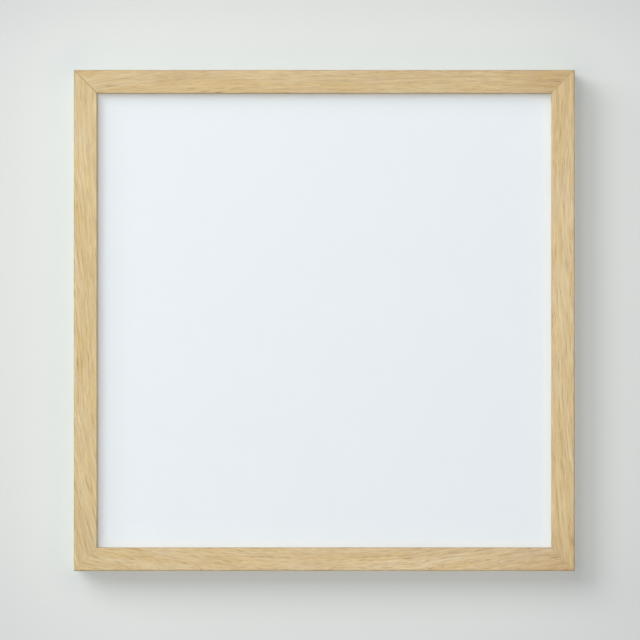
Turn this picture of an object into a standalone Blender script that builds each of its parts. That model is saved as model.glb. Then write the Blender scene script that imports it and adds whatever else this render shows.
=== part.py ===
"""A square oak photo frame for a wall, modelled piece by piece in metres, with +Z up.

The origin is on the wall's plane, behind the middle of the frame, and the front faces -Y.
"""

import math

import bmesh
import bpy
from mathutils import Matrix

# Sheets that the frame holds, all cut to the same square
sheet_side = 0.400
glass_thickness = 0.002
glass_arris = 0.0002
print_thickness = 0.0003
card_thickness = 0.0015
panel_thickness = 0.003

# Oak rails, with a rebate behind the sight edge and a clip groove in the rebate's wall
rail_width = 0.020
rail_depth = 0.026
rebate_width = 0.006
lip_thickness = 0.0045
outer_arris = 0.0017
sight_arris = 0.0008
back_arris = 0.0005
groove_depth = 0.003
groove_width = 0.0022

# Clearances
edge_play = 0.001
seat_gap = 0.0003
mitre_gap = 0.0002
tip_play = 0.0005
rivet_play = 0.0003
eye_play = 0.0003
cut_overrun = 0.001
merge_distance = 0.00001

# V-nails, driven into each mitre from the back
nail_leg = 0.0045
nail_thickness = 0.0005
nail_height = 0.010
nail_sink = 0.0005
nail_half_angle = math.radians(50)
nail_place_shares = {"outer": 0.30, "inner": 0.60}

# Swing clips, which turn on rivets in the back panel
clip_length = 0.032
clip_width = 0.010
clip_thickness = 0.001
clip_tail = 0.010
clip_edge = 0.00015
clip_place_share = 0.27

# Hangers: a strap with a rolled eye, and the D ring that swings in it
strap_width = 0.012
strap_thickness = 0.001
strap_rivet_drop = 0.018
strap_roll_angle = math.radians(280)
ring_wire = 0.002
ring_width = 0.018
ring_drop = 0.012
ring_corner = 0.002
hanger_across_share = 0.30
hanger_up_share = 0.31

# Rivets, the same in the clips and the hangers
rivet_head_radius = 0.003
rivet_head_height = 0.0009
rivet_rim = 0.0003
rivet_shank_radius = 0.0017
rivet_tail_radius = 0.0026
rivet_tail_thickness = 0.0005

# Bumpers on the rails' backs
bumper_radius = 0.005
bumper_thickness = 0.002
bumper_round = 0.0008
bumper_from_corner = 0.028

# Smoothness of round shapes, in steps
arris_steps = 4
turn_steps = 20
end_steps = 10
roll_steps = 20
bow_steps = 14
corner_steps = 3
round_steps = 3
dome_steps = 3

# Places worked out from the sizes above
opening_half = sheet_side / 2 + edge_play
wall_thickness = rail_width - rebate_width
outer_half = opening_half + wall_thickness
front_y = -(rail_depth + seat_gap + bumper_thickness)
rail_back = front_y + rail_depth
glass_front = front_y + lip_thickness + seat_gap
print_front = glass_front + glass_thickness + seat_gap
card_front = print_front + print_thickness + seat_gap
panel_front = card_front + card_thickness + seat_gap
panel_back = panel_front + panel_thickness
plate_front = panel_back + seat_gap
groove_back = plate_front + clip_thickness + seat_gap
groove_front = groove_back - groove_width
clip_reach = clip_length - clip_tail
clip_axis_half = opening_half + groove_depth - tip_play - clip_reach
rivet_hole_radius = rivet_shank_radius + rivet_play
ring_axis_height = hanger_up_share * sheet_side
roll_bore = ring_wire / 2 + eye_play
roll_radius = roll_bore + strap_thickness
ring_axis_y = plate_front + roll_radius

# The turn about +Y that takes the top side to each side, and the top left corner to each corner
quarter_turn = math.pi / 2
half_turn = math.pi
three_quarter_turn = 3 * quarter_turn
sides = {"top": 0, "right": quarter_turn, "bottom": half_turn, "left": three_quarter_turn}
corners = {
    "top_left": 0,
    "top_right": quarter_turn,
    "bottom_right": half_turn,
    "bottom_left": three_quarter_turn,
}
clip_ends = {
    "top": ("left", "right"),
    "right": ("upper", "lower"),
    "bottom": ("right", "left"),
    "left": ("lower", "upper"),
}

# Turns about +X that stand a flat plate up facing front, and point a turned piece at the wall
upright = quarter_turn
to_wall = -quarter_turn

# Stands a section drawn in the XY plane up in the YZ plane, with its length along X
section_along_x = Matrix(((0, 0, 1, 0), (1, 0, 0, 0), (0, 1, 0, 0), (0, 0, 0, 1)))

# Faces that meet at less than these angles are shaded smooth, or left without a bevel
smooth_angle = math.radians(35)
bevel_angle = math.radians(60)


def clear_scene():
    for obj in list(bpy.data.objects):
        bpy.data.objects.remove(obj, do_unlink=True)


def new_collection(name):
    collection = bpy.data.collections.new(name)
    bpy.context.scene.collection.children.link(collection)
    return collection


def linear(channel):
    """A display colour channel, 0 to 255, as the linear value that a shader takes."""
    value = channel / 255
    return value / 12.92 if value <= 0.04045 else ((value + 0.055) / 1.055) ** 2.4


def new_material(name, colour, roughness, metallic=0.0, alpha=1.0):
    material = bpy.data.materials.new(name)
    material.use_nodes = True
    shader = material.node_tree.nodes["Principled BSDF"]
    shader.inputs["Base Color"].default_value = (*map(linear, colour), 1)
    shader.inputs["Roughness"].default_value = roughness
    shader.inputs["Metallic"].default_value = metallic
    shader.inputs["Alpha"].default_value = alpha
    material.diffuse_color = (*map(linear, colour), alpha)
    return material


def new_piece(name, data, material, location=(0, 0, 0), rotation=(0, 0, 0)):
    """A named sub-part on the frame's origin empty. Pieces may share data, so each holds its own material."""
    piece = bpy.data.objects.new(name, data)
    parts.objects.link(piece)
    piece.parent = origin
    piece.location = location
    piece.rotation_euler = rotation
    if not data.materials:
        data.materials.append(None)
    piece.material_slots[0].link = "OBJECT"
    piece.material_slots[0].material = material
    return piece


def new_cutter(name, mesh, collection, location=(0, 0, 0), rotation=(0, 0, 0)):
    cutter = bpy.data.objects.new(name, mesh)
    collection.objects.link(cutter)
    cutter.location = location
    cutter.rotation_euler = rotation
    cutter.hide_render = True
    cutter.display_type = "WIRE"
    return cutter


def cut(piece, collection):
    """Takes every cutter of a collection away from the piece."""
    modifier = piece.modifiers.new("cut", "BOOLEAN")
    modifier.operation = "DIFFERENCE"
    modifier.operand_type = "COLLECTION"
    modifier.collection = collection
    modifier.solver = "EXACT"


def arc(centre, radius, start, end, steps):
    """Points along an arc, ends included, with angles in radians."""
    turns = [start + (end - start) * step / steps for step in range(steps + 1)]
    return [(centre[0] + radius * math.cos(a), centre[1] + radius * math.sin(a)) for a in turns]


def circle(centre, radius, steps):
    return arc(centre, radius, 0, math.tau, steps)[:-1]


def plate_mesh(name, outlines, thickness):
    """A flat plate centred on its own XY plane, from an outline and any holes."""
    curve = bpy.data.curves.new(name, "CURVE")
    curve.dimensions = "2D"
    curve.fill_mode = "BOTH"
    curve.extrude = thickness / 2
    for outline in outlines:
        spline = curve.splines.new("POLY")
        spline.points.add(len(outline) - 1)
        for point, (x, y) in zip(spline.points, outline):
            point.co = (x, y, 0, 1)
        spline.use_cyclic_u = True
    guide = bpy.data.objects.new(name, curve)
    cutters.objects.link(guide)
    bpy.context.view_layer.update()
    graph = bpy.context.evaluated_depsgraph_get()
    mesh = bpy.data.meshes.new_from_object(guide.evaluated_get(graph))
    bpy.data.objects.remove(guide, do_unlink=True)
    bpy.data.curves.remove(curve)
    shape = bmesh.new()
    shape.from_mesh(mesh)
    bmesh.ops.remove_doubles(shape, verts=shape.verts, dist=merge_distance)
    shape.to_mesh(mesh)
    shape.free()
    mesh.materials.clear()
    return mesh


def turned_mesh(name, profile):
    """The open profile of a turned piece, in its own XZ plane, from the top down its outer side."""
    mesh = bpy.data.meshes.new(name)
    edges = [(i, i + 1) for i in range(len(profile) - 1)]
    mesh.from_pydata([(radius, 0, height) for radius, height in profile], edges, [])
    return mesh


def turn(piece):
    modifier = piece.modifiers.new("turn", "SCREW")
    modifier.steps = turn_steps
    modifier.render_steps = turn_steps
    modifier.use_merge_vertices = True
    modifier.merge_threshold = merge_distance
    modifier.use_smooth_shade = True


def new_sheet(name, thickness, front, material):
    """A square sheet that fills the rebate, placed by its front face."""
    shape = bmesh.new()
    bmesh.ops.create_cube(shape, size=1)
    bmesh.ops.scale(shape, vec=(sheet_side, thickness, sheet_side), verts=shape.verts)
    mesh = bpy.data.meshes.new(name)
    shape.to_mesh(mesh)
    shape.free()
    return new_piece(name, mesh, material, (0, front + thickness / 2, 0))


def add_bevel(piece, width, segments):
    modifier = piece.modifiers.new("edges", "BEVEL")
    modifier.width = width
    modifier.segments = segments
    modifier.limit_method = "ANGLE"
    modifier.angle_limit = bevel_angle


def rail_outline():
    """The top rail's section, as (y, z): depth towards the wall, and height from the frame's middle."""
    sight = outer_half - rail_width
    lip_back = front_y + lip_thickness
    groove_floor = opening_half + groove_depth
    outer_centre = (front_y + outer_arris, outer_half - outer_arris)
    sight_centre = (front_y + sight_arris, sight + sight_arris)
    back_centre = (rail_back - back_arris, outer_half - back_arris)
    outline = arc(outer_centre, outer_arris, quarter_turn, half_turn, arris_steps)
    outline += arc(sight_centre, sight_arris, half_turn, three_quarter_turn, arris_steps)
    outline += [(lip_back, sight), (lip_back, opening_half)]
    outline += [(groove_front, opening_half), (groove_front, groove_floor)]
    outline += [(groove_back, groove_floor), (groove_back, opening_half)]
    outline += [(rail_back - back_arris, opening_half), (rail_back, opening_half + back_arris)]
    outline += arc(back_centre, back_arris, 0, quarter_turn, round_steps)
    return outline


def rail_mesh():
    """One rail with both its mitres, lying along X at the top of the frame."""
    mesh = plate_mesh("rail", [rail_outline()], 2 * outer_half)
    mesh.transform(section_along_x)
    setback = mitre_gap / math.sqrt(2)
    for vertex in mesh.vertices:
        vertex.co.x = math.copysign(vertex.co.z - setback, vertex.co.x)
    mesh.shade_smooth()
    mesh.set_sharp_from_angle(angle=smooth_angle)
    return mesh


def v_outline(margin):
    """A V that opens along +X from its bend at the origin, grown by a margin all round."""
    half = nail_thickness / 2 + margin
    reach = nail_leg + margin
    along = (math.cos(nail_half_angle), math.sin(nail_half_angle))
    across = (-along[1], along[0])
    bend = half / along[1]
    outer = (reach * along[0] + half * across[0], reach * along[1] + half * across[1])
    inner = (reach * along[0] - half * across[0], reach * along[1] - half * across[1])
    upper = [outer, inner]
    lower = [(x, -y) for x, y in reversed(upper)]
    return [(-bend, 0), *reversed(lower), (bend, 0), *reversed(upper)]


def nail_places():
    """Each V-nail's name, and the place and turn that set it across its mitre."""
    for corner, corner_turn in corners.items():
        turned = quarter_turn / 2 + corner_turn
        side_x = math.copysign(1, -math.cos(turned))
        side_z = math.copysign(1, math.sin(turned))
        for place, share in nail_place_shares.items():
            from_middle = outer_half - share * wall_thickness
            yield f"v_nail_{corner}_{place}", side_x * from_middle, side_z * from_middle, turned


def build_nails():
    nail = plate_mesh("v_nail", [v_outline(0)], nail_height)
    slot_back = rail_back + cut_overrun
    slot_front = rail_back - nail_sink - nail_height - seat_gap
    slot = plate_mesh("v_nail_slot", [v_outline(seat_gap)], slot_back - slot_front)
    nail_y = rail_back - nail_sink - nail_height / 2
    slot_y = (slot_front + slot_back) / 2
    for name, x, z, turned in nail_places():
        new_piece(name, nail, nail_steel, (x, nail_y, z), (upright, turned, 0))
        new_cutter(f"{name}_slot", slot, nail_slots, (x, slot_y, z), (upright, turned, 0))


def build_rails():
    mesh = rail_mesh()
    for side, turned in sides.items():
        rail = new_piece(f"rail_{side}", mesh, oak[side], rotation=(0, turned, 0))
        cut(rail, nail_slots)


def build_sheets():
    glass = new_sheet("glazing", glass_thickness, glass_front, clear_glass)
    add_bevel(glass, glass_arris, 1)
    new_sheet("print_sheet", print_thickness, print_front, white_paper)
    new_sheet("filler_card", card_thickness, card_front, grey_card)
    panel = new_sheet("back_panel", panel_thickness, panel_front, hardboard)
    cut(panel, rivet_holes)


def rivet_mesh(name, plate_thickness):
    """A rivet on +Z, from the panel's back face at zero: its tail is let into the panel's front."""
    seat = 2 * seat_gap + plate_thickness
    dome = rivet_head_height - rivet_rim
    tail_front = seat_gap - panel_thickness
    tail_back = tail_front + rivet_tail_thickness
    turns = [quarter_turn * step / dome_steps for step in range(dome_steps + 1)]
    profile = [(rivet_head_radius * math.sin(a), seat + rivet_rim + dome * math.cos(a)) for a in turns]
    profile += [(rivet_head_radius, seat), (rivet_shank_radius, seat)]
    profile += [(rivet_shank_radius, tail_back), (rivet_tail_radius, tail_back)]
    profile += [(rivet_tail_radius, tail_front), (0, tail_front)]
    return turned_mesh(name, profile)


def rivet_hole_mesh():
    """The hole that a rivet goes through, wider at the panel's front for its tail."""
    tail_radius = rivet_tail_radius + rivet_play
    tail_floor = 2 * seat_gap + rivet_tail_thickness - panel_thickness
    below = -panel_thickness - cut_overrun
    profile = [(0, cut_overrun), (rivet_hole_radius, cut_overrun), (rivet_hole_radius, tail_floor)]
    profile += [(tail_radius, tail_floor), (tail_radius, below), (0, below)]
    return turned_mesh("rivet_hole", profile)


def add_rivet(name, mesh, x, z):
    turn(new_piece(name, mesh, rivet_steel, (x, panel_back, z), (to_wall, 0, 0)))
    turn(new_cutter(f"{name}_hole", rivet_hole, rivet_holes, (x, panel_back, z), (to_wall, 0, 0)))


def clip_mesh():
    """A strip with round ends, its tip along +Y from the rivet's hole at the origin."""
    radius = clip_width / 2
    tip = arc((0, clip_reach - radius), radius, 0, half_turn, end_steps)
    tail = arc((0, radius - clip_tail), radius, half_turn, math.tau, end_steps)
    hole = circle((0, 0), rivet_hole_radius, turn_steps)
    return plate_mesh("clip", [tip + tail, hole], clip_thickness)


def build_clips():
    mesh = clip_mesh()
    rivet = rivet_mesh("clip_rivet", clip_thickness)
    along = clip_place_share * sheet_side
    clip_y = plate_front + clip_thickness / 2
    for side, turned in sides.items():
        for end, offset in zip(clip_ends[side], (-along, along)):
            x = offset * math.cos(turned) + clip_axis_half * math.sin(turned)
            z = clip_axis_half * math.cos(turned) - offset * math.sin(turned)
            clip = new_piece(f"clip_{side}_{end}", mesh, zinc_steel, (x, clip_y, z), (upright, turned, 0))
            add_bevel(clip, clip_edge, 1)
            add_rivet(f"clip_rivet_{side}_{end}", rivet, x, z)


def strap_side_mesh(tail):
    """The strap's side view, made wide: flat from the tail up, then rolled round the ring's bar as an eye."""
    centre = (roll_radius, 0)
    end = half_turn - strap_roll_angle
    outline = [(0, -tail), *arc(centre, roll_radius, half_turn, end, roll_steps)]
    outline += [*arc(centre, roll_bore, end, half_turn, roll_steps), (strap_thickness, -tail)]
    mesh = plate_mesh("strap", [outline], strap_width + 2 * cut_overrun)
    mesh.transform(section_along_x)
    mesh.shade_smooth()
    mesh.set_sharp_from_angle(angle=smooth_angle)
    return mesh


def strap_blank_mesh(tail):
    """The strap's front view, cut out of the side view: straight sides, a round tail and the rivet's hole."""
    radius = strap_width / 2
    top = roll_radius + cut_overrun
    outline = [(radius, top), (-radius, top)]
    outline += arc((0, radius - tail), radius, half_turn, math.tau, end_steps)
    hole = circle((0, -strap_rivet_drop), rivet_hole_radius, turn_steps)
    depth = 2 * (2 * roll_radius + cut_overrun)
    return plate_mesh("strap_blank", [outline, hole], depth)


def build_strap(side, x, mesh, blank_mesh):
    place = (x, plate_front, ring_axis_height)
    strap = new_piece(f"hanger_strap_{side}", mesh, zinc_steel, place)
    blank = new_cutter(f"hanger_strap_{side}_blank", blank_mesh, cutters, place, (upright, 0, 0))
    modifier = strap.modifiers.new("outline", "BOOLEAN")
    modifier.operation = "INTERSECT"
    modifier.object = blank
    modifier.solver = "EXACT"


def ring_path():
    """The D ring's centre line, as (x, z) from the middle of its bar."""
    half = ring_width / 2
    inside = half - ring_corner
    path = arc((-inside, -ring_corner), ring_corner, half_turn, quarter_turn, corner_steps)
    path += arc((inside, -ring_corner), ring_corner, quarter_turn, 0, corner_steps)
    path += arc((0, half - ring_drop), half, 0, -half_turn, bow_steps)
    return path


def ring_curve():
    path = ring_path()
    curve = bpy.data.curves.new("d_ring", "CURVE")
    curve.dimensions = "3D"
    curve.bevel_depth = ring_wire / 2
    curve.bevel_resolution = 2
    curve.use_fill_caps = True
    spline = curve.splines.new("POLY")
    spline.points.add(len(path) - 1)
    for point, (x, z) in zip(spline.points, path):
        point.co = (x, 0, z, 1)
    spline.use_cyclic_u = True
    spline.use_smooth = True
    return curve


def build_hangers():
    ring = ring_curve()
    rivet = rivet_mesh("hanger_rivet", strap_thickness)
    tail = strap_rivet_drop + strap_width / 2
    strap = strap_side_mesh(tail)
    blank = strap_blank_mesh(tail)
    across = hanger_across_share * sheet_side
    for side, x in (("left", -across), ("right", across)):
        build_strap(side, x, strap, blank)
        new_piece(f"hanger_ring_{side}", ring, nickel_wire, (x, ring_axis_y, ring_axis_height))
        add_rivet(f"hanger_rivet_{side}", rivet, x, ring_axis_height - strap_rivet_drop)


def bumper_mesh():
    """A round pad on +Z with a rounded edge on the wall's side."""
    flat = bumper_radius - bumper_round
    edge = arc((flat, bumper_thickness - bumper_round), bumper_round, quarter_turn, 0, round_steps)
    return turned_mesh("bumper", [(0, bumper_thickness), *edge, (bumper_radius, 0), (0, 0)])


def build_bumpers():
    mesh = bumper_mesh()
    x = outer_half - wall_thickness / 2
    z = outer_half - bumper_from_corner
    for level, side_z in (("top", 1), ("bottom", -1)):
        for hand, side_x in (("left", -1), ("right", 1)):
            place = (side_x * x, rail_back + seat_gap, side_z * z)
            turn(new_piece(f"bumper_{level}_{hand}", mesh, soft_rubber, place, (to_wall, 0, 0)))


clear_scene()
parts = new_collection("photo_frame")
cutters = new_collection("photo_frame_cutters")
nail_slots = new_collection("nail_slots")
rivet_holes = new_collection("rivet_holes")
origin = bpy.data.objects.new("photo_frame_origin", None)
parts.objects.link(origin)

oak = {
    "top": new_material("oak_top", (209, 185, 141), 0.55),
    "right": new_material("oak_right", (210, 187, 144), 0.55),
    "bottom": new_material("oak_bottom", (209, 185, 143), 0.55),
    "left": new_material("oak_left", (214, 190, 145), 0.55),
}
clear_glass = new_material("clear_glass", (240, 246, 245), 0.05, alpha=0.2)
white_paper = new_material("white_paper", (236, 241, 243), 0.9)
grey_card = new_material("grey_card", (176, 170, 158), 0.95)
hardboard = new_material("hardboard", (150, 112, 78), 0.8)
nail_steel = new_material("nail_steel", (150, 152, 155), 0.4, metallic=1.0)
zinc_steel = new_material("zinc_steel", (186, 188, 190), 0.35, metallic=1.0)
rivet_steel = new_material("rivet_steel", (200, 201, 203), 0.3, metallic=1.0)
nickel_wire = new_material("nickel_wire", (205, 203, 196), 0.2, metallic=1.0)
soft_rubber = new_material("soft_rubber", (206, 208, 206), 0.6)

rivet_hole = rivet_hole_mesh()
build_nails()
build_rails()
build_sheets()
build_clips()
build_hangers()
build_bumpers()
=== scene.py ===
"""The looks of a square oak photo frame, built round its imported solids, in metres with +Z up.

The frame hangs on a pale wall and faces -Y, as in the photograph.
"""

import math

import bmesh
import bpy
from mathutils import Matrix, Vector


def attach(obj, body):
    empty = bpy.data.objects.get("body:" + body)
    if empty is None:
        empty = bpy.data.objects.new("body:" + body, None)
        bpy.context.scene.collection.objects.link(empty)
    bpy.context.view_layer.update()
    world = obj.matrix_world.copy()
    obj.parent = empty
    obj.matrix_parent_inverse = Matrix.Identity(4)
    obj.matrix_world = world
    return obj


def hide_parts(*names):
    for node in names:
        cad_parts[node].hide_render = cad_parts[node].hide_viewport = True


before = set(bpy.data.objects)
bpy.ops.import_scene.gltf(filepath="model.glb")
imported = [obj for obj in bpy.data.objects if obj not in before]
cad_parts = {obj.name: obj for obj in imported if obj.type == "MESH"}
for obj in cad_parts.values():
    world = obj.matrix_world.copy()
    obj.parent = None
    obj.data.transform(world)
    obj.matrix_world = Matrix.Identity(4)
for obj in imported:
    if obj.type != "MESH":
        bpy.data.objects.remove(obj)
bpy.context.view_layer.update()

mm = 0.001
quarter_turn = math.pi / 2
half_turn = math.pi
full_turn = 2 * math.pi

# The photograph, in pixels, and where the camera stood
image_px = 640
frame_px = 501.4
frame_middle_px = (324.3, 320.5)
camera_distance = 2.6
sensor_mm = 36

# Sizes repeated from the part's source
outer_side = 0.430
outer_half = outer_side / 2
rail_width = 0.020
sight_half = outer_half - rail_width
mitre_gap = 0.0002
front_y = -0.0283
rail_back = -0.0023
outer_arris = 0.0017
sight_arris = 0.0008
lip_back = -0.0238
rebate_half = 0.201
plate_front = -0.0155
clip_length = 0.032
clip_width = 0.010
clip_thickness = 0.001
clip_tail = 0.010
clip_axis_half = 0.1815
clip_along = 0.108
strap_width = 0.012
strap_thickness = 0.001
strap_rivet_drop = 0.018
roll_bore = 0.0013
roll_radius = 0.0023
roll_angle = math.radians(280)
ring_wire = 0.002
ring_width = 0.018
ring_drop = 0.012
ring_corner = 0.002
ring_axis_y = -0.0132
ring_axis_height = 0.124
hanger_across = 0.120
rivet_hole_radius = 0.002
rivet_play = 0.0003
rivet_head_radius = 0.003
rivet_head_height = 0.0009
rivet_rim = 0.0003
rivet_tail_front = -0.0030
rivet_tail_radius = 0.0026
rivet_tail_thickness = 0.0005
bumper_radius = 0.005
bumper_thickness = 0.002
bumper_round = 0.0008
bumper_front = -0.002
bumper_across = 0.208
bumper_up = 0.187

sides = {"top": 0, "right": quarter_turn, "bottom": half_turn, "left": 3 * quarter_turn}
clip_ends = {
    "top": ("left", "right"),
    "right": ("upper", "lower"),
    "bottom": ("right", "left"),
    "left": ("lower", "upper"),
}

# Sizes of the finer pieces
clip_edge_round = 0.22 * mm
strap_edge_round = 0.18 * mm
sharp_angle = math.radians(50)
turned_sharp_angle = math.radians(40)
plate_merge = 0.01 * mm
turned_merge = 0.005 * mm
glue_sink = 0.2 * mm
glue_fill = 0.96


# Colours


def linear(channel):
    """A display colour channel, 0 to 255, as the linear value that a shader takes."""
    value = channel / 255
    return value / 12.92 if value <= 0.04045 else ((value + 0.055) / 1.055) ** 2.4


def rgb(*channels):
    return (*map(linear, channels), 1.0)


white = (1, 1, 1, 1)
oak_warm = rgb(213, 187, 138)
oak_cool = rgb(209, 187, 148)
oak_fleck = rgb(226, 208, 174)
oak_pore = rgb(146, 108, 68)
oak_sawn = rgb(206, 186, 150)
mitre_dirt = rgb(116, 82, 44)
glue_pale = rgb(196, 169, 126)
glue_dark = rgb(104, 70, 36)
glass_tint = (0.985, 0.995, 0.99, 1)
paper_white = (0.861, 0.879, 0.920, 1)
paper_rail_bounce_tint = (0.995, 0.965, 0.925, 1)
paper_rail_shade_tint = (0.955, 0.945, 0.94, 1)
paper_edge_shade_and_bounce_tint = (0.94, 0.85, 0.73, 1)
card_grey = rgb(176, 170, 158)
card_fleck = rgb(120, 110, 96)
board_brown = rgb(170, 136, 102)
board_pale_hair = rgb(198, 168, 130)
board_dark_hair = rgb(118, 88, 62)
nail_grey = rgb(148, 151, 156)
zinc_grey = rgb(190, 193, 197)
rivet_grey = rgb(200, 202, 204)
nickel_grey = rgb(205, 202, 195)
rubber_grey = rgb(204, 206, 203)
rubber_speck = rgb(160, 160, 156)
wall_pale = (0.737, 0.757, 0.743, 1)
wall_lower_right_tint = (0.91, 0.915, 0.915, 1)
wall_upper_left_tint = (0.87, 0.93, 0.955, 1)
room_light = (0.93, 0.97, 1.0, 1)
backdrop_light = (0.97, 0.985, 0.98, 1)


# A small way of writing node graphs


class Wire:
    """One output of a node. Sums and products of wires add the nodes that work them out."""

    def __init__(self, graph, socket):
        self.graph = graph
        self.socket = socket

    def __add__(self, other):
        return self.graph.math("ADD", self, other)

    def __sub__(self, other):
        return self.graph.math("SUBTRACT", self, other)

    def __rsub__(self, other):
        return self.graph.math("SUBTRACT", other, self)

    def __mul__(self, other):
        return self.graph.math("MULTIPLY", self, other)

    def __truediv__(self, other):
        return self.graph.math("DIVIDE", self, other)


class Graph:
    """A node tree, emptied but for its output node."""

    def __init__(self, tree, output_kind):
        self.tree = tree
        self.tree.nodes.clear()
        self.output = self.add(output_kind)

    def add(self, kind, inputs=(), **settings):
        """A new node of this kind, with these values or wires in its inputs."""
        node = self.tree.nodes.new(kind)
        for name, value in settings.items():
            setattr(node, name, value)
        for name, value in dict(inputs).items():
            self.put(node.inputs[name], value)
        return node

    def put(self, socket, value):
        if isinstance(value, Wire):
            value = value.socket
        if isinstance(value, bpy.types.NodeSocket):
            self.tree.links.new(value, socket)
        else:
            socket.default_value = value

    def fill(self, sockets, values):
        for socket, value in zip(sockets, values):
            self.put(socket, value)

    def math(self, operation, *values):
        node = self.add("ShaderNodeMath", operation=operation)
        self.fill(node.inputs, values)
        return Wire(self, node.outputs[0])

    def split(self, vector):
        node = self.add("ShaderNodeSeparateXYZ", {"Vector": vector})
        return [Wire(self, output) for output in node.outputs]

    def end_with_mix(self, factor, first, second):
        """Ends the graph with two shaders: the first shows where factor is 0, the second where it is 1."""
        both = self.add("ShaderNodeMixShader", {"Fac": factor})
        self.put(both.inputs[1], first.outputs[0])
        self.put(both.inputs[2], second.outputs[0])
        self.put(self.output.inputs["Surface"], both.outputs[0])


class Finish(Graph):
    """A new material. Places in it are in millimetres."""

    def __init__(self, name):
        self.material = bpy.data.materials.new(name)
        self.material.use_nodes = True
        super().__init__(self.material.node_tree, "ShaderNodeOutputMaterial")
        place = self.add("ShaderNodeTexCoord").outputs["Object"]
        self.place = self.vector("SCALE", place, Scale=1 / mm)

    def vector(self, operation, *values, **named):
        node = self.add("ShaderNodeVectorMath", operation=operation)
        self.fill(node.inputs, values)
        for name, value in named.items():
            self.put(node.inputs[name], value)
        return Wire(self, node.outputs[0])

    def join(self, *values):
        node = self.add("ShaderNodeCombineXYZ")
        self.fill(node.inputs, values)
        return Wire(self, node.outputs[0])

    def noise(self, place, sizes, detail=2.0, roughness=0.5, shift=0.0):
        """Noise from about -0.5 to 0.5 whose marks have these sizes, in millimetres. shift moves it."""
        scaled = self.vector("DIVIDE", place, sizes)
        moved = self.vector("ADD", scaled, (shift, 1.7 * shift, 2.3 * shift))
        values = {"Vector": moved, "Scale": 1.0, "Detail": detail, "Roughness": roughness}
        node = self.add("ShaderNodeTexNoise", values)
        return Wire(self, node.outputs["Fac"]) - 0.5

    def step(self, value, low, high):
        """A smooth step from 0 at low to 1 at high."""
        values = {"Value": value, "From Min": low, "From Max": high}
        node = self.add("ShaderNodeMapRange", values, interpolation_type="SMOOTHSTEP")
        return Wire(self, node.outputs["Result"])

    def ramp(self, value, *stops):
        """A number that runs through (place, number) stops."""
        node = self.add("ShaderNodeFloatCurve", {"Value": value})
        points = node.mapping.curves[0].points
        while len(points) < len(stops):
            points.new(0.5, 0.5)
        for point, stop in zip(points, stops):
            point.location = stop
            point.handle_type = "VECTOR"
        node.mapping.update()
        return Wire(self, node.outputs["Value"])

    def mix(self, factor, first, second, blend="MIX"):
        node = self.add("ShaderNodeMix", data_type="RGBA", blend_type=blend)
        colour_sockets = (node.inputs[0], node.inputs[6], node.inputs[7])
        self.fill(colour_sockets, (factor, first, second))
        return Wire(self, node.outputs[2])

    def tinted(self, colour, tint):
        return self.mix(1.0, colour, tint, "MULTIPLY")

    def stained(self, amount, colour, tint):
        """A colour that is tinted where amount is 1 and left as it is where amount is 0."""
        return self.mix(amount, colour, self.tinted(colour, tint))

    def bright(self, colour, amount):
        """A colour made lighter or darker by a wire near 1."""
        if isinstance(colour, tuple):
            colour = colour[:3]
        return self.vector("SCALE", colour, Scale=amount)

    def toned(self, colour, shade):
        """A wood colour, paler where shade is above 0 and darker and redder where it is below."""
        channel_shares = (0.76, 1.0, 1.27)
        change = self.vector("SCALE", channel_shares, Scale=shade)
        factors = self.vector("ADD", change, (1, 1, 1))
        return self.vector("MULTIPLY", colour, factors)

    def bump(self, height, depth):
        """A normal from a height of about 0 to 1 that stands for this depth, in millimetres."""
        values = {"Height": height, "Distance": depth * mm, "Strength": 1.0}
        return Wire(self, self.add("ShaderNodeBump", values).outputs["Normal"])

    def surface(self, **inputs):
        """Ends the graph with one shader, whose inputs are named with _ for each space."""
        values = {name.replace("_", " "): value for name, value in inputs.items()}
        node = self.add("ShaderNodeBsdfPrincipled", values)
        self.put(self.output.inputs["Surface"], node.outputs[0])
        return node


# Materials


def upper_left_side(g, x, z):
    """1 above and left of the diagonal that rises to the right, 0 below and right of it."""
    half_blur = 60
    return g.step(z - x, -half_blur, half_blur)


def upper_left_corner(g, x, z):
    """1 in the upper left quarter, whose mitre is the darkest in the photograph, and 0 in the others."""
    half_blur = 20
    return (1.0 - g.step(x, -half_blur, half_blur)) * g.step(z, -half_blur, half_blur)


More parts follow.
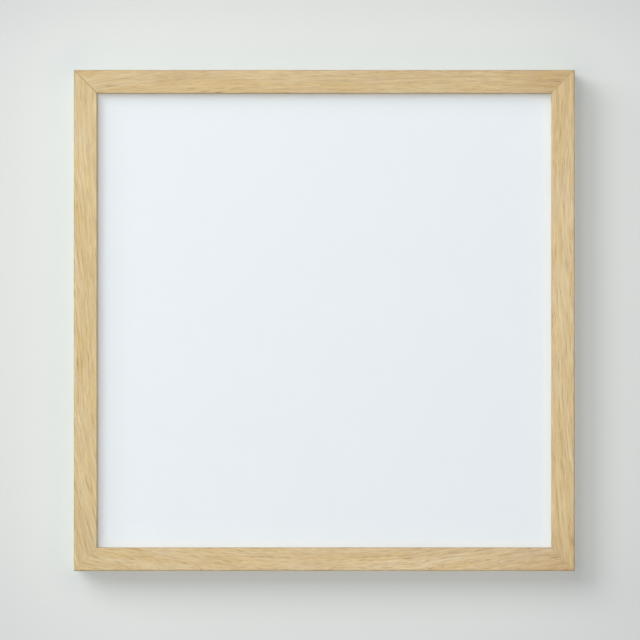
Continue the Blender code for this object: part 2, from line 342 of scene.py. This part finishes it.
def oak(name, along, lean, shift, tints, strength, reach):
    """Lacquered oak with its grain along one axis.

    lean is how far the grain has moved across the rail, in millimetres, at even steps along it. shift moves
    the noise, so that the rails differ. tints are the wood's tints at its start, between its ends and at its
    end. strength is how much its figure shows, and reach is how long its fibres look, in millimetres.
    """
    g = Finish(name)
    x, y, z = g.split(g.place)
    length, across = (x, z) if along == "x" else (z, x)
    outer = outer_half / mm
    sight = sight_half / mm
    face = front_y / mm
    back = rail_back / mm

    # The grain leans, drifts and sways across the rail
    share = length / (outer_side / mm) + 0.5
    lean_span = 120
    stops = [(step / (len(lean) - 1), 0.5 + moved / lean_span) for step, moved in enumerate(lean)]
    moved = (g.ramp(share, *stops) - 0.5) * lean_span
    straight = g.join(length, across, y)
    drift = g.noise(straight, (95, 30, 30), detail=1.5, shift=shift) * 8
    sway = g.noise(straight, (1.4 * reach, 11, 11), detail=1.5, shift=shift + 5) * 2.4
    across_grain = across + moved + drift + sway
    grain = g.join(length, across_grain, y)

    # Year rings of uneven width, with most of the pores in their early wood
    year_width = 4.6
    stretched = g.join(length * 0.03, across_grain, y * 0.3)
    uneven = g.noise(stretched, (5, 5, 5), shift=shift) * 2.2
    year = g.math("FRACT", across_grain / year_width + y * 0.11 + uneven)
    early = g.ramp(year, (0, 0.9), (0.2, 0.8), (0.5, 0.3), (0.8, 0.05), (0.95, 0.1), (1, 0.9))
    pore_noise = g.noise(grain, (0.4 * reach, 0.46, 0.46), detail=1.5, shift=shift + 1)
    pores = g.step(pore_noise, 0.07, 0.18) * (early * 0.8 + 0.2)

    # The figure, from its finest marks to its broadest
    fine = g.noise(grain, (0.3 * reach, 0.55, 0.55), roughness=0.6, shift=shift + 2)
    fleck = g.step(g.noise(grain, (3.2, 0.9, 0.9), detail=1.0, shift=shift + 7), 0.1, 0.22)
    fibre = g.noise(grain, (reach, 1.3, 1.3), detail=2.5, roughness=0.6, shift=shift + 3)
    hue = g.noise(grain, (14, 2.2, 2.2), roughness=0.6, shift=shift + 9)
    glow = g.noise(grain, (18, 4, 4), roughness=0.55, shift=shift + 6)
    patch = g.noise(grain, (60, 7, 7), shift=shift + 4)
    broad = g.noise(grain, (110, 14, 14), detail=1.0, shift=shift + 10)

    start, middle, end = [(*tint, 1) for tint in tints]
    tint = g.mix(g.step(share, 0.8, 1.0), g.mix(g.step(share, 0.0, 0.2), start, middle), end)
    base = g.tinted(g.mix(g.step(patch + hue, -0.3, 0.3), oak_warm, oak_cool), tint)
    shade = fine * 0.58 + fibre * 0.50 + glow * 0.22 + patch * 0.22 + broad * 0.16 - early * 0.05
    base = g.toned(base, shade * strength + 0.035)
    base = g.mix(fleck * 0.18 * strength, base, oak_fleck)
    base = g.mix(pores * 0.72 * strength, base, oak_pore)

    # Painted shade and light on the edges, with some wear from the fibre: at the top and left the outer
    # edges are darker and the sight edges paler, and at the bottom and right the sight edges are a little
    # darker
    size_across = g.math("ABSOLUTE", across)
    outer_edge = g.step(size_across, outer - outer_arris / mm, outer - 0.4)
    sight_edge = 1.0 - g.step(size_across, sight + 0.3, sight + 0.9)
    at_face = 1.0 - g.step(y, face + 0.7, face + 1.3)
    upper_left = upper_left_side(g, x, z)
    outer_edge_wear_and_shade = outer_edge * (fibre * 0.4 - upper_left * 0.16)
    sight_edge_wear_light_and_shade = sight_edge * (fibre * 0.4 + upper_left * 0.29 - 0.09)
    base = g.bright(base, (outer_edge_wear_and_shade + sight_edge_wear_light_and_shade) * at_face + 1.0)

    # Dirt lies in the mitres, most of it in the upper left one and towards the sight edge
    off_mitre = g.math("ABSOLUTE", g.math("ABSOLUTE", x) - g.math("ABSOLUTE", z))
    along_mitre = g.math("ABSOLUTE", x) + g.math("ABSOLUTE", z)
    inner_end = 1.0 - g.step(along_mitre, 2 * sight + 10, 2 * outer - 4)
    dirt_cloud = g.noise(g.place, (3, 3, 3)) + 0.22 + inner_end * 0.28
    in_mitre = 1.0 - g.step(off_mitre, 0.1, 0.5)
    joint_dirt = in_mitre * dirt_cloud * (upper_left_corner(g, x, z) * 0.9 + 0.1)
    base = g.mix(joint_dirt, base, mitre_dirt)

    # The back is raw, with the marks of the saw
    raw = g.step(y, back - 0.6, back - 0.2)
    saw = g.noise(g.join(length, across * 0.1, y), (0.8, 12, 12), detail=1.0, shift=shift + 8)
    raw_colour = g.bright(g.mix(0.45, base, oak_sawn), saw * 0.25 + 0.98)
    base = g.mix(raw, base, raw_colour)

    height = fine * 0.3 + fibre * 0.3 - pores * 0.9 - early * 0.2 + raw * saw * 0.8
    g.surface(
        Base_Color=base,
        Roughness=fibre * 0.16 + pores * 0.25 + raw * 0.25 + 0.46,
        Normal=g.bump(height, depth=0.05),
        Specular_IOR_Level=0.45,
    )
    return g.material


def glue_line():
    """Glue in the mitres, pale but for the upper left one."""
    g = Finish("mitre_glue_line")
    x, _, z = g.split(g.place)
    cloud = g.noise(g.place, (2, 2, 2), detail=3.0)
    colour = g.mix(upper_left_corner(g, x, z), glue_pale, glue_dark)
    g.surface(
        Base_Color=g.bright(colour, cloud * 0.4 + 1.0),
        Roughness=cloud * 0.2 + 0.7,
        Normal=g.bump(cloud, depth=0.02),
        Specular_IOR_Level=0.1,
    )
    return g.material


def glass():
    """Clear picture glass: what lies behind it shows through unbent, and both its faces mirror a little.

    Its front face mirrors for both, so that a ray leaving through the other isn't mirrored twice.
    """
    g = Finish("picture_glass")
    clear = g.add("ShaderNodeBsdfTransparent", {"Color": glass_tint})
    mirror = g.add("ShaderNodeBsdfGlossy", {"Color": white, "Roughness": 0.02})
    one_face = Wire(g, g.add("ShaderNodeFresnel", {"IOR": 1.5}).outputs[0])
    behind = Wire(g, g.add("ShaderNodeNewGeometry").outputs["Backfacing"])
    both_faces = g.math("MINIMUM", one_face * 1.85, 1.0)
    g.end_with_mix(both_faces * (1.0 - behind), clear, mirror)
    return g.material


def paper():
    """White paper, with painted warm light from the rails near all its edges, and painted shade under the
    top and left rails that is warm close to them.
    """
    g = Finish("blank_paper")
    x, _, z = g.split(g.place)
    cloud = g.noise(g.place, (45, 45, 45))
    fibre = g.noise(g.place, (0.5, 0.5, 0.5), detail=3.0, roughness=0.6)
    sight = sight_half / mm
    from_edge = sight - g.math("MAXIMUM", g.math("ABSOLUTE", x), g.math("ABSOLUTE", z))
    from_upper_left = g.math("MINIMUM", sight - z, x + sight)
    colour = g.bright(paper_white, cloud * 0.012 + fibre * 0.02 + 1.0)
    # Painted light: warmer near every edge, for the light the oak throws onto the paper
    colour = g.stained(1.0 - g.step(from_edge, 0, 8), colour, paper_rail_bounce_tint)
    # Painted shade: duller under the top and left rails, where their shadow falls
    colour = g.stained(1.0 - g.step(from_upper_left, 0, 24), colour, paper_rail_shade_tint)
    # Painted shade with warm light from the oak, right under the top and left rails
    colour = g.stained(1.0 - g.step(from_upper_left, -0.5, 3), colour, paper_edge_shade_and_bounce_tint)
    g.surface(Base_Color=colour, Roughness=fibre * 0.1 + 0.85, Normal=g.bump(fibre, depth=0.01))
    return g.material


def card():
    g = Finish("grey_card")
    cloud = g.noise(g.place, (9, 9, 9), detail=3.0)
    fleck = g.step(g.noise(g.place, (0.7, 0.5, 0.6)), 0.12, 0.24)
    colour = g.mix(fleck * 0.4, g.bright(card_grey, cloud * 0.15 + 1.0), card_fleck)
    g.surface(Base_Color=colour, Roughness=0.93, Normal=g.bump(cloud, depth=0.03))
    return g.material


def hardboard():
    """Brown board with the mark of the wire mesh that it was pressed on."""
    g = Finish("hardboard_back")
    x, _, z = g.split(g.place)
    mesh_pitch = 1.25
    diagonal = 0.7
    wave = full_turn / mesh_pitch
    mesh = g.math("SINE", (x + z) * wave * diagonal) * g.math("SINE", (x - z) * wave * diagonal)
    fibre = g.noise(g.place, (1.6, 1.2, 1.2), detail=4.0, roughness=0.65)
    cloud = g.noise(g.place, (55, 40, 40), detail=3.0, roughness=0.55)
    pale_hair = g.step(g.noise(g.place, (2.4, 0.35, 0.5), shift=3), 0.13, 0.26)
    dark_hair = g.step(g.noise(g.place, (0.4, 0.5, 2.1), shift=7), 0.14, 0.28)
    colour = g.bright(board_brown, fibre * 0.34 + cloud * 0.22 + mesh * 0.05 + 1.0)
    colour = g.mix(pale_hair * 0.35, colour, board_pale_hair)
    colour = g.mix(dark_hair * 0.40, colour, board_dark_hair)
    height = mesh * 0.5 + fibre * 0.7 + pale_hair * 0.3
    g.surface(Base_Color=colour, Roughness=fibre * 0.2 + 0.78, Normal=g.bump(height, depth=0.10))
    return g.material


def metal(name, colour, roughness, crystal_size, spangle, scratch_sizes):
    """Plated steel with faint crystals, fine scratches and duller patches.

    spangle is how much its crystals differ in shade and gloss.
    """
    g = Finish(name)
    crystal_place = g.vector("DIVIDE", g.place, (crystal_size,) * 3)
    cells = g.add("ShaderNodeTexVoronoi", {"Vector": crystal_place, "Scale": 1.0})
    crystal = g.split(cells.outputs["Color"])[0] - 0.5
    dull = g.noise(g.place, (4, 4, 4), detail=3.0, roughness=0.6)
    scratch = g.noise(g.place, scratch_sizes, roughness=0.6, shift=4)
    g.surface(
        Base_Color=g.bright(colour, crystal * spangle + dull * 0.16 + scratch * 0.08 + 1.0),
        Metallic=1.0,
        Roughness=dull * 0.22 + scratch * 0.18 + crystal * spangle + roughness,
        Normal=g.bump(scratch + dull, depth=0.012),
    )
    return g.material


def rubber():
    g = Finish("bumper_rubber")
    cloud = g.noise(g.place, (2.5, 2.5, 2.5))
    speck = g.step(g.noise(g.place, (0.25, 0.25, 0.25)), 0.14, 0.25)
    colour = g.mix(speck * 0.3, g.bright(rubber_grey, cloud * 0.08 + 1.0), rubber_speck)
    g.surface(Base_Color=colour, Roughness=cloud * 0.2 + 0.55, Normal=g.bump(cloud + speck, depth=0.02))
    return g.material


def wall_paint():
    """Pale matt paint, there only from its front, so that it doesn't hide the back of the frame."""
    g = Finish("wall_paint")
    x, _, z = g.split(g.place)
    outer = outer_half / mm
    cloud = g.noise(g.place, (400, 400, 400))
    stipple = g.noise(g.place, (1.4, 1.4, 1.4), detail=3.0, roughness=0.6)

    # Painted shade: darker far out, above the frame and left of it, where less light falls
    far = g.step(g.math("SQRT", x * x + z * z), outer + 55, 2 * outer)
    above = g.step(z, outer + 10, outer + 70)
    left = g.step(x, -outer - 10, -outer - 70)
    shade = cloud * 0.02 + stipple * 0.012 - far * 0.07 - (above * 0.045 + left * 0.02)
    colour = g.bright(wall_pale, shade + 1.0)

    # Darker where the rails throw light onto it
    bounce_start = outer - 15
    out_x = g.math("MAXIMUM", g.math("ABSOLUTE", x) - bounce_start, 0)
    out_z = g.math("MAXIMUM", g.math("ABSOLUTE", z) - bounce_start, 0)
    near = 1.0 - g.step(g.math("SQRT", out_x * out_x + out_z * out_z), 11, 57)
    tint = g.mix(upper_left_side(g, x, z), wall_lower_right_tint, wall_upper_left_tint)
    paint = g.surface(
        Base_Color=g.stained(near, colour, tint),
        Roughness=0.95,
        Specular_IOR_Level=0.1,
        Normal=g.bump(stipple, depth=0.03),
    )
    nothing = g.add("ShaderNodeBsdfTransparent", {"Color": white})
    behind = g.add("ShaderNodeNewGeometry").outputs["Backfacing"]
    g.end_with_mix(behind, paint, nothing)
    return g.material


# Shapes


def arc(centre, radius, start, end, steps):
    turns = [start + (end - start) * step / steps for step in range(steps + 1)]
    return [(centre[0] + radius * math.cos(turn), centre[1] + radius * math.sin(turn)) for turn in turns]


def rivet_hole(height):
    """The outline of a rivet's hole at this height of a drawing."""
    return arc((0, height), rivet_hole_radius, 0, full_turn, steps=40)[:-1]


def add_object(name, data):
    item = bpy.data.objects.new(name, data)
    bpy.context.scene.collection.objects.link(item)
    return item


def new_piece(name, mesh, material):
    piece = add_object(name, mesh)
    mesh.materials.clear()
    mesh.materials.append(material)
    return piece


def finished_mesh(item):
    """A mesh of an object as it looks with its modifiers or its curve worked out."""
    bpy.context.view_layer.update()
    return bpy.data.meshes.new_from_object(item.evaluated_get(bpy.context.evaluated_depsgraph_get()))


def mesh_from_curve(name, curve):
    guide = add_object(name, curve)
    mesh = finished_mesh(guide)
    bpy.data.objects.remove(guide, do_unlink=True)
    bpy.data.curves.remove(curve)
    mesh.name = name
    return mesh


def mesh_from_shape(name, shape):
    mesh = bpy.data.meshes.new(name)
    shape.to_mesh(mesh)
    shape.free()
    return mesh


def stand_in(piece, node, body):
    """Puts a finer piece in a solid's place."""
    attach(piece, body)
    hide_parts(node)


def dress(node, material):
    """Gives a solid that keeps its own shape a finished material."""
    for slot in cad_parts[node].material_slots:
        slot.material = material


def closed_line(curve, points):
    """Adds a closed line through these points to a curve."""
    spline = curve.splines.new("POLY")
    spline.points.add(len(points) - 1)
    for point, place in zip(spline.points, points):
        point.co = (*place, 1)
    spline.use_cyclic_u = True
    return spline


def plate(name, outlines, thickness):
    """A flat plate on its own XY plane, from zero up +Z, from an outline and any holes."""
    curve = bpy.data.curves.new(name, "CURVE")
    curve.dimensions = "2D"
    curve.fill_mode = "BOTH"
    curve.extrude = thickness / 2
    for outline in outlines:
        closed_line(curve, [(x, y, 0) for x, y in outline])
    mesh = mesh_from_curve(name, curve)
    shape = bmesh.new()
    shape.from_mesh(mesh)
    bmesh.ops.remove_doubles(shape, verts=shape.verts, dist=plate_merge)
    bmesh.ops.translate(shape, vec=(0, 0, thickness / 2), verts=shape.verts)
    shape.to_mesh(mesh)
    shape.free()
    return mesh


def soften(piece, width, segments):
    """Rounds a piece's sharp edges, with its flat faces left flat."""
    bevel = piece.modifiers.new("edges", "BEVEL")
    bevel.width = width
    bevel.segments = segments
    bevel.limit_method = "ANGLE"
    bevel.angle_limit = sharp_angle
    bevel.harden_normals = True
    piece.data.shade_smooth()
    piece.data.set_sharp_from_angle(angle=sharp_angle)


def turned(name, profile):
    """A closed turned shape about +Z, from a profile that starts and ends on the axis."""
    shape = bmesh.new()
    points = [shape.verts.new((radius, 0, height)) for radius, height in profile]
    edges = [shape.edges.new(pair) for pair in zip(points, points[1:])]
    bmesh.ops.spin(
        shape,
        geom=points + edges,
        cent=(0, 0, 0),
        axis=(0, 0, 1),
        angle=full_turn,
        steps=48,
        use_merge=True,
    )
    bmesh.ops.remove_doubles(shape, verts=shape.verts, dist=turned_merge)
    bmesh.ops.recalc_face_normals(shape, faces=shape.faces)
    mesh = mesh_from_shape(name, shape)
    mesh.shade_smooth()
    mesh.set_sharp_from_angle(angle=turned_sharp_angle)
    return mesh


def placed(mesh, x, y, z, turn=0.0):
    """Turns a shape drawn on +Z to point at the wall, then about +Y, and sets it in its place."""
    spin = Matrix.Rotation(turn, 4, "Y") @ Matrix.Rotation(-quarter_turn, 4, "X")
    mesh.transform(Matrix.Translation((x, y, z)) @ spin)
    mesh.update()
    return mesh


def clip_shape(name):
    """The clip with its tip along -Y of the drawing, which the turn to the wall makes +Z."""
    radius = clip_width / 2
    reach = clip_length - clip_tail
    tip = arc((0, radius - reach), radius, half_turn, full_turn, steps=28)
    tail = arc((0, clip_tail - radius), radius, 0, half_turn, steps=28)
    return plate(name, [tip + tail, rivet_hole(0)], clip_thickness)


def build_clips(plating, rivet_steel):
    for side, turn in sides.items():
        for end, along in zip(clip_ends[side], (-clip_along, clip_along)):
            name = f"clip_{side}_{end}"
            x = along * math.cos(turn) + clip_axis_half * math.sin(turn)
            z = clip_axis_half * math.cos(turn) - along * math.sin(turn)
            mesh = placed(clip_shape(name), x, plate_front, z, turn)
            clip = new_piece(f"{name}_pressed", mesh, plating)
            soften(clip, clip_edge_round, segments=3)
            stand_in(clip, name, name)
            add_rivet(f"clip_rivet_{side}_{end}", x, z, clip_thickness, rivet_steel)


def add_rivet(name, x, z, plate_thickness, steel):
    """A domed rivet head with its shank, and its tail on the far side of the panel."""
    seat = plate_thickness + rivet_play
    rim_top = seat + rivet_rim
    dome = rivet_head_height - rivet_rim
    steps = 8
    turns = [quarter_turn * step / steps for step in range(steps + 1)]
    profile = [(rivet_head_radius * math.sin(turn), rim_top + dome * math.cos(turn)) for turn in turns]
    under_edge_top = seat + rivet_rim * 0.25
    under_edge_radius = rivet_head_radius * 0.97
    profile += [(rivet_head_radius, under_edge_top), (under_edge_radius, seat)]
    shank = rivet_hole_radius - rivet_play
    tail_back = rivet_tail_front + rivet_tail_thickness
    profile += [(shank, seat), (shank, tail_back), (rivet_tail_radius, tail_back)]
    profile += [(rivet_tail_radius, rivet_tail_front), (0, rivet_tail_front)]
    rivet = new_piece(f"{name}_turned", placed(turned(name, profile), x, plate_front, z), steel)
    stand_in(rivet, name, "root")


def strap_shape(name, x, plating):
    """A strip swept along its side view: flat up from the tail, then rolled into an eye for the ring's bar.

    A blank of the strap's outline, with its hole, then cuts the strip to shape.
    """
    outside = arc((roll_radius, 0), roll_radius, half_turn, half_turn - roll_angle, steps=40)
    inside = arc((roll_radius, 0), roll_bore, half_turn - roll_angle, half_turn, steps=40)
    tail = strap_rivet_drop + strap_width / 2
    side_view = [(0, -tail), *outside, *inside, (strap_thickness, -tail)]
    spare = mm
    strip = plate(name, [side_view], strap_width + 2 * spare)
    side_to_front = Matrix(((0, 0, 1, 0), (1, 0, 0, 0), (0, 1, 0, 0), (0, 0, 0, 1)))
    strip.transform(Matrix.Translation((-strap_width / 2 - spare, 0, 0)) @ side_to_front)
    strap = new_piece(f"{name}_rolled", strip, plating)

    radius = strap_width / 2
    top = roll_radius + spare
    outline = [(radius, -top), (-radius, -top)]
    outline += arc((0, tail - radius), radius, half_turn, 0, steps=32)
    blank_half_depth = 6 * mm
    blank_mesh = plate(f"{name}_blank", [outline, rivet_hole(strap_rivet_drop)], 2 * blank_half_depth)
    centred = Matrix.Translation((0, 0, -blank_half_depth))
    blank_mesh.transform(Matrix.Rotation(-quarter_turn, 4, "X") @ centred)
    blank = add_object(f"{name}_blank", blank_mesh)
    modifier = strap.modifiers.new("outline", "BOOLEAN")
    modifier.operation = "INTERSECT"
    modifier.object = blank
    modifier.solver = "EXACT"
    cut = finished_mesh(strap)
    strap.modifiers.clear()
    strap.data = cut
    bpy.data.objects.remove(blank, do_unlink=True)
    cut.transform(Matrix.Translation((x, plate_front, ring_axis_height)))
    soften(strap, strap_edge_round, segments=2)
    return strap


def ring_shape(name, x, plating):
    """The D ring, bent from round wire, whose ends meet in the middle of its bar."""
    half = ring_width / 2
    inside = half - ring_corner
    path = arc((-inside, -ring_corner), ring_corner, half_turn, quarter_turn, steps=10)
    path += arc((inside, -ring_corner), ring_corner, quarter_turn, 0, steps=10)
    path += arc((0, half - ring_drop), half, 0, -half_turn, steps=48)
    curve = bpy.data.curves.new(name, "CURVE")
    curve.dimensions = "3D"
    curve.bevel_depth = ring_wire / 2
    curve.bevel_resolution = 6
    spline = closed_line(curve, [(across, 0, up) for across, up in path])
    spline.use_smooth = True
    mesh = mesh_from_curve(name, curve)
    mesh.transform(Matrix.Translation((x, ring_axis_y, ring_axis_height)))
    mesh.shade_smooth()
    return new_piece(f"{name}_wire", mesh, plating)


def build_hangers(strap_plating, ring_plating, rivet_steel):
    for side, x in (("left", -hanger_across), ("right", hanger_across)):
        strap = strap_shape(f"hanger_strap_{side}", x, strap_plating)
        stand_in(strap, f"hanger_strap_{side}", "root")
        ring = ring_shape(f"hanger_ring_{side}", x, ring_plating)
        stand_in(ring, f"hanger_ring_{side}", f"ring_{side}")
        rivet_height = ring_axis_height - strap_rivet_drop
        add_rivet(f"hanger_rivet_{side}", x, rivet_height, strap_thickness, rivet_steel)


def build_bumpers(pad_rubber):
    flat = bumper_radius - bumper_round
    edge = arc((flat, bumper_thickness - bumper_round), bumper_round, quarter_turn, 0, steps=8)
    profile = [(0, bumper_thickness), *edge, (bumper_radius, 0), (0, 0)]
    for level, up in (("top", bumper_up), ("bottom", -bumper_up)):
        for hand, across in (("left", -bumper_across), ("right", bumper_across)):
            name = f"bumper_{level}_{hand}"
            mesh = placed(turned(name, profile), across, bumper_front, up)
            pad = new_piece(f"{name}_moulded", mesh, pad_rubber)
            stand_in(pad, name, "root")


def glue_section():
    """The rails' section, just under the wood's faces, as (y, distance from the frame's middle) points."""
    outer_centre = (front_y + outer_arris, outer_half - outer_arris)
    sight_centre = (front_y + sight_arris, sight_half + sight_arris)
    return [
        *arc(outer_centre, outer_arris - glue_sink, quarter_turn, half_turn, steps=6),
        *arc(sight_centre, sight_arris - glue_sink, half_turn, 3 * quarter_turn, steps=4),
        (lip_back, sight_half + glue_sink),
        (lip_back, rebate_half + glue_sink),
        (rail_back - glue_sink, rebate_half + glue_sink),
        (rail_back - glue_sink, outer_half - glue_sink),
    ]


def build_glue(glue):
    """A thin sheet of glue in each mitre, which shows as a line. It fills most of the gap."""
    section = glue_section()
    count = len(section)
    slide = glue_fill / 2 * mitre_gap / math.sqrt(2)
    shape = bmesh.new()
    for right in (1, -1):
        for up in (1, -1):
            faces = []
            for move in (slide, -slide):
                places = [(right * (out + move), y, up * (out - move)) for y, out in section]
                faces.append([shape.verts.new(place) for place in places])
            shape.faces.new(faces[0])
            shape.faces.new(faces[1][::-1])
            for corner in range(count):
                after = (corner + 1) % count
                shape.faces.new((faces[0][corner], faces[1][corner], faces[1][after], faces[0][after]))
    bmesh.ops.recalc_face_normals(shape, faces=shape.faces)
    piece = new_piece("mitre_glue", mesh_from_shape("mitre_glue", shape), glue)
    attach(piece, "root")


# Stage, light and camera

wall_y = 0.0003
wall_half_width = 0.8
wall_half_height = 2.6
room_level = 0.058
backdrop_level = 0.88
dark_below = 0.25
darkest = 0.65


def add_stage_plane(name, corners, material):
    mesh = bpy.data.meshes.new(name)
    mesh.from_pydata(corners, [], [tuple(range(len(corners)))])
    plane = new_piece(name, mesh, material)
    return plane


def build_stage():
    ways = ((-1, -1), (1, -1), (1, 1), (-1, 1))
    corners = [(right * wall_half_width, wall_y, up * wall_half_height) for right, up in ways]
    wall = add_stage_plane("backdrop_wall", corners, wall_paint())

    # The wall neither shades the back of the frame nor shows in its metal
    wall.visible_shadow = False
    wall.visible_glossy = False


def build_world():
    world = bpy.data.worlds.new("studio")
    bpy.context.scene.world = world
    world.use_nodes = True
    g = Graph(world.node_tree, "ShaderNodeOutputWorld")
    rays = {name: Wire(g, output) for name, output in g.add("ShaderNodeLightPath").outputs.items()}

    # In gloss, the room behind the wall darkens towards the floor, so that metal there has something to show
    _, back, up = g.split(g.add("ShaderNodeTexCoord").outputs["Generated"])
    behind_wall = g.math("GREATER_THAN", back, 0.1)
    below = g.math("MAXIMUM", behind_wall * (dark_below - up), 0.0)
    darker = g.math("MINIMUM", below, darkest) * rays["Is Glossy Ray"]

    # The backdrop shows to the camera, in gloss and through glass, but not to light that a surface scatters
    seen = g.math("MAXIMUM", rays["Is Camera Ray"], rays["Is Glossy Ray"])
    seen = g.math("MAXIMUM", seen, rays["Is Transmission Ray"])
    unscattered = g.math("LESS_THAN", rays["Diffuse Depth"], 0.5)

    room = g.add("ShaderNodeBackground", {"Color": room_light, "Strength": room_level})
    backdrop_strength = (1.0 - darker) * backdrop_level
    backdrop = g.add("ShaderNodeBackground", {"Color": backdrop_light, "Strength": backdrop_strength})
    g.end_with_mix(seen * unscattered, room, backdrop)


def add_lamp(name, place, size, level, gloss=True):
    """A rectangular lamp that faces along Y, towards the frame.

    level is how brightly it lights a white face square to it at the origin.
    """
    lamp = bpy.data.lights.new(name, "AREA")
    lamp.shape = "RECTANGLE"
    lamp.size, lamp.size_y = size
    steps = 24
    total = 0.0
    for column in range(steps):
        for row in range(steps):
            across = place[0] + ((column + 0.5) / steps - 0.5) * size[0]
            up = place[2] + ((row + 0.5) / steps - 0.5) * size[1]
            away = Vector((across, place[1], up))
            total += place[1] ** 2 / away.length_squared ** 2
    lamp.energy = level * math.pi * math.pi * steps ** 2 / total
    lamp_object = add_object(name, lamp)
    lamp_object.location = place
    lamp_object.rotation_euler = (math.copysign(quarter_turn, -place[1]), 0, 0)
    lamp_object.visible_camera = False
    lamp_object.visible_glossy = gloss


def build_lamps():
    add_lamp("window_lamp", place=(-3.25, -3.13, 2.96), size=(3.01, 3.91), level=0.242)
    add_lamp("side_lamp", place=(-9.7, -2.47, 5.15), size=(4.4, 7.0), level=0.052, gloss=False)
    add_lamp("soft_lamp", place=(-0.943, -3.65, 0.967), size=(1.09, 3.48), level=0.150, gloss=False)
    add_lamp("front_lamp", place=(-0.01, -4.5, 0.01), size=(0.102, 0.102), level=0.498, gloss=False)
    add_lamp("back_lamp", place=(0.0, 2.6, 0.2), size=(0.9, 0.9), level=0.56, gloss=False)
    add_lamp("back_shine_lamp", place=(0.0, 2.6, 0.2), size=(1.6, 1.6), level=0.24)


def build_camera():
    pitch = outer_side / frame_px
    middle_px = image_px / 2
    camera = bpy.data.cameras.new("camera")
    camera.sensor_width = sensor_mm
    camera.lens = sensor_mm * camera_distance / (image_px * pitch)
    camera_object = add_object("camera", camera)
    camera_object.location = (
        (middle_px - frame_middle_px[0]) * pitch,
        front_y - camera_distance,
        (frame_middle_px[1] - middle_px) * pitch,
    )
    camera_object.rotation_euler = (quarter_turn, 0, 0)
    bpy.context.scene.camera = camera_object


# The frame's finishes

rail_looks = {
    "top": {
        "along": "x",
        "lean": (14, 6, 1, 0, 0, 1, 3),
        "shift": 1.0,
        "tints": ((0.925, 0.92, 0.895), (0.925, 0.905, 0.87), (0.83, 0.77, 0.72)),
        "strength": 0.95,
        "reach": 34,
    },
    "right": {
        "along": "z",
        "lean": (-14, -8, -2, 2, 6, 6, 4),
        "shift": 9.0,
        "tints": ((0.92, 0.89, 0.86), (1.03, 1.03, 1.035), (0.955, 0.94, 0.9)),
        "strength": 1.08,
        "reach": 46,
    },
    "bottom": {
        "along": "x",
        "lean": (-26, -10, 0, 4, 0, -10, -22),
        "shift": 17.0,
        "tints": ((0.955, 0.96, 0.945), (0.99, 0.985, 1), (0.88, 0.825, 0.82)),
        "strength": 1.12,
        "reach": 24,
    },
    "left": {
        "along": "z",
        "lean": (-44, -28, -14, -8, 0, 6, 9),
        "shift": 25.0,
        "tints": ((0.955, 0.955, 0.94), (0.98, 0.985, 0.96), (0.955, 0.98, 1)),
        "strength": 1.0,
        "reach": 38,
    },
}
metal_looks = {
    "driven_nail_steel": {
        "colour": nail_grey,
        "roughness": 0.42,
        "crystal_size": 0.9,
        "spangle": 0.06,
        "scratch_sizes": (0.3, 6, 0.3),
    },
    "zinc_plate": {
        "colour": zinc_grey,
        "roughness": 0.40,
        "crystal_size": 1.3,
        "spangle": 0.14,
        "scratch_sizes": (0.2, 2, 5),
    },
    "rivet_plate": {
        "colour": rivet_grey,
        "roughness": 0.30,
        "crystal_size": 0.8,
        "spangle": 0.06,
        "scratch_sizes": (0.4, 0.4, 0.4),
    },
    "nickel_plate": {
        "colour": nickel_grey,
        "roughness": 0.20,
        "crystal_size": 2.0,
        "spangle": 0.05,
        "scratch_sizes": (0.6, 0.6, 3),
    },
}
metals = {name: metal(name, **look) for name, look in metal_looks.items()}

for side, look in rail_looks.items():
    dress(f"rail_{side}", oak(f"oak_{side}", **look))
dress("glazing", glass())
dress("print_sheet", paper())
dress("filler_card", card())
dress("back_panel", hardboard())
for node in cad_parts:
    if node.startswith("v_nail_"):
        dress(node, metals["driven_nail_steel"])

build_clips(metals["zinc_plate"], metals["rivet_plate"])
build_hangers(metals["zinc_plate"], metals["nickel_plate"], metals["rivet_plate"])
build_bumpers(rubber())
build_glue(glue_line())
build_stage()
build_world()
build_lamps()
build_camera()

bpy.context.scene.view_settings.view_transform = "Standard"
